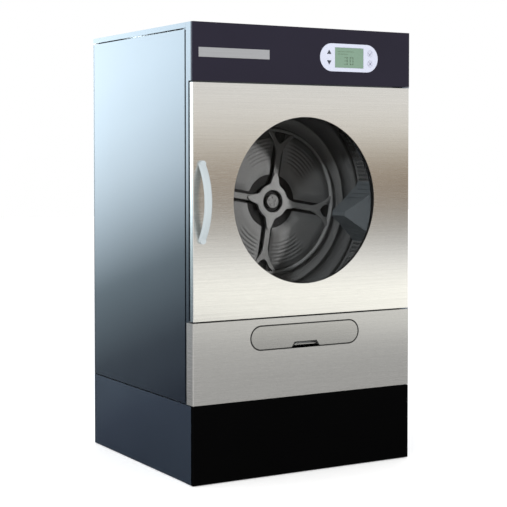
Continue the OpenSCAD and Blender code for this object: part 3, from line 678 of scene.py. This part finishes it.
def build_flap_gap_shade():
    """Black strips round the filter flap and its finger notch: painted shade of the gap round the flap."""
    low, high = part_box("filter_flap")
    centre_z, r = (low.z + high.z) / 2, (high.z - low.z) / 2
    steps = 24

    def end(side):
        turns = [math.pi * k / steps for k in range(steps + 1)]
        return [(side * (high.x - r + r * math.sin(a)), centre_z + side * r * math.cos(a)) for a in turns]

    half_notch = [(62, 0), (60, 4), (49, 20)]
    notch = [(x * MM, low.z + z * MM) for x, z in half_notch]
    notch += [(-x, z) for x, z in reversed(notch)]
    points = end(1) + notch + end(-1)
    gap_shade = Shape()
    joined = list(zip(points, points[1:] + points[:1]))
    # near-black strips that paint the shade of the gap round the flap and its notch
    strokes(gap_shade, joined, 4.4 * MM, [front - 0.4 * MM, front + 1.2 * MM])
    piece("flap_gap_shade", "filter_drawer", "black_rubber", gap_shade, smooth=False)


build_flap_gap_shade()


# ---- stage, lights and camera ----

def stage_plane(name, size, place, material):
    """A rectangle that belongs to the scene and not to the object."""
    mesh = bpy.data.meshes.new(name)
    w, h = size[0] / 2, size[1] / 2
    mesh.from_pydata([(-w, -h, 0), (w, -h, 0), (w, h, 0), (-w, h, 0)], [], [(0, 1, 2, 3)])
    obj = bpy.data.objects.new(name, mesh)
    bpy.context.scene.collection.objects.link(obj)
    obj.matrix_world = place
    mesh.materials.append(material)
    return obj


def reflection_card(name, centre, facing, width, height, stops, tilt=0.0):
    """An upright glowing panel that only shows in reflections.

    The stops are (height, strength, tint) from the floor up, and tilt leans the bands sideways.
    """
    mat = bpy.data.materials.new(name)
    mat.use_nodes = True
    tree = mat.node_tree
    tree.nodes.remove(tree.nodes["Principled BSDF"])
    glow = tree.nodes.new("ShaderNodeEmission")
    ramp = tree.nodes.new("ShaderNodeValToRGB")
    coords = tree.nodes.new("ShaderNodeTexCoord")
    split = tree.nodes.new("ShaderNodeSeparateXYZ")
    place_in = tree.nodes.new("ShaderNodeMapRange")
    low = centre[2] - height / 2
    place_in.inputs["From Min"].default_value = -height / 2
    place_in.inputs["From Max"].default_value = height / 2
    elements = ramp.color_ramp.elements
    stops = [(up, [strength * share for share in tint]) for up, strength, tint in stops]
    peak = max(max(colour) for _, colour in stops)
    for number, (up, colour) in enumerate(stops):
        share = (up - low) / height
        if number < 2:
            element = elements[number]
            element.position = share
        else:
            element = elements.new(share)
        element.color = (*[c / peak for c in colour], 1)
    glow.inputs["Strength"].default_value = peak
    links = tree.links
    links.new(coords.outputs["Object"], split.inputs["Vector"])
    leaning = tree.nodes.new("ShaderNodeMath")
    leaning.operation = "MULTIPLY_ADD"
    leaning.inputs[1].default_value = tilt
    links.new(split.outputs["X"], leaning.inputs[0])
    links.new(split.outputs["Y"], leaning.inputs[2])
    links.new(leaning.outputs["Value"], place_in.inputs["Value"])
    links.new(place_in.outputs["Result"], ramp.inputs["Fac"])
    links.new(ramp.outputs["Color"], glow.inputs["Color"])
    links.new(glow.outputs["Emission"], tree.nodes["Material Output"].inputs["Surface"])
    turn = Vector((facing[0], facing[1], 0)).to_track_quat("Z", "Y").to_matrix().to_4x4()
    card = stage_plane(name, (width, height), Matrix.Translation(centre) @ turn, mat)
    for ray in ("camera", "diffuse", "transmission", "volume_scatter", "shadow"):
        setattr(card, "visible_" + ray, False)


def add_lamp(name, lamp, place, target):
    """Puts a lamp in the scene, turned to its target and left out of reflections."""
    obj = bpy.data.objects.new(name, lamp)
    obj.location = place
    obj.rotation_euler = (Vector(target) - Vector(place)).to_track_quat("-Z", "Y").to_euler()
    obj.visible_glossy = False
    bpy.context.scene.collection.objects.link(obj)
    return obj


def area_light(name, place, target, size, power):
    """A soft square light."""
    lamp = bpy.data.lights.new(name, "AREA")
    lamp.shape = "RECTANGLE"
    lamp.size, lamp.size_y = size, size
    lamp.energy = power
    add_lamp(name, lamp, place, target)


def window_spot(name, place, power, colour=(1, 1, 1)):
    """A narrow light through the window that reaches only the pieces of the drum."""
    target = Vector((0, front, window_z))
    lamp = bpy.data.lights.new(name, "SPOT")
    reach = (target - Vector(place)).length
    lamp.spot_size = 2 * math.atan(window_r * 1.1 / reach)
    lamp.spot_blend = 0.2
    lamp.shadow_soft_size = 0.12
    lamp.energy = power
    lamp.color = colour
    obj = add_lamp(name, lamp, place, target)
    obj.light_linking.receiver_collection = DRUM_PIECES


scene = bpy.context.scene
scene.view_settings.view_transform = "Standard"

floor_mat, _, _ = principled("floor_pale", (0.88, 0.88, 0.88), Roughness=0.9, Emission_Color=(1, 1, 1, 1),
                             Emission_Strength=0.3)
floor = stage_plane("floor", (40, 40), Matrix.Identity(4), floor_mat)
floor.visible_glossy = False

world = bpy.data.worlds.new("studio")
scene.world = world
world.use_nodes = True
world.node_tree.nodes["Background"].inputs["Color"].default_value = (1, 1, 1, 1)
world.node_tree.nodes["Background"].inputs["Strength"].default_value = 1.0

# the camera's viewing direction, and where it mirrors in the front and in the left side
yaw = math.radians(30.351)
pitch = math.radians(-2.009)
look = Vector((math.sin(yaw) * math.cos(pitch), math.cos(yaw) * math.cos(pitch), math.sin(pitch)))
mirrored_front = Vector((look.x, -look.y, 0)).normalized()
mirrored_side = Vector((-look.x, look.y, 0)).normalized()
card_distance = 1.2

WHITE = (1, 1, 1)
CREAM = (1, 1, 0.95)
NIGHT_BLUE = (0.8, 0.9, 1.3)
DEEP_BLUE = (0.80, 0.97, 1.2)
SKY_BLUE = (0.87, 1.04, 1.15)
front_stops = [
    (-0.30, 0.30, WHITE), (0.28, 0.34, WHITE), (0.35, 0.46, WHITE), (0.43, 1.25, (1, 1, 0.96)),
    (0.54, 1.42, (1, 1, 0.94)), (0.64, 1.34, CREAM), (0.72, 1.02, WHITE), (0.80, 0.66, WHITE),
    (0.90, 0.42, (1.0, 0.95, 0.89)), (0.97, 0.36, (1.0, 0.88, 0.76)), (1.05, 0.31, (1.0, 0.80, 0.62)),
    (1.13, 0.32, (1.0, 0.75, 0.54)), (1.22, 0.50, (1.0, 0.88, 0.72)), (1.33, 0.82, (1.0, 0.96, 0.89)),
    (1.46, 0.95, (1.0, 0.985, 0.96)), (1.60, 0.86, WHITE)]
side_stops = [
    (-0.20, 0.03, NIGHT_BLUE), (0.02, 0.06, NIGHT_BLUE), (0.16, 0.14, DEEP_BLUE),
    (0.32, 0.18, (0.80, 0.97, 1.15)), (0.70, 0.64, (0.80, 1.01, 1.12)), (1.20, 2.75, (0.86, 1.02, 1.12)),
    (1.45, 3.4, SKY_BLUE), (1.70, 3.8, SKY_BLUE)]
front_card_place = Vector((0, front, 1.0)) + mirrored_front * card_distance
side_card_place = Vector((-half_w, 0, 1.2)) + mirrored_side * card_distance
reflection_card("front_card", front_card_place, -mirrored_front, 5.0, 4.0, front_stops)
reflection_card("side_card", side_card_place, -mirrored_side, 5.0, 4.4, side_stops, tilt=0.45)

area_light("key_light", (-2.4, -3.2, 3.4), (0, 0, 0.9), 2.6, 60)
window_spot("drum_light_right", (2.3, -2.5, 1.7), 4400)
window_spot("drum_light_left", (-2.6, -1.95, 2.2), 1700, (0.92, 0.97, 1.0))

camera_data = bpy.data.cameras.new("camera")
camera_data.sensor_width = 36
camera_data.lens = 96.12
camera_data.shift_y = -0.0996
camera = bpy.data.objects.new("camera", camera_data)
camera.location = (-2.8044, -4.8375, 1.2243)
camera.rotation_euler = look.to_track_quat("-Z", "Y").to_euler()
scene.collection.objects.link(camera)
scene.camera = camera

bpy.context.view_layer.update()
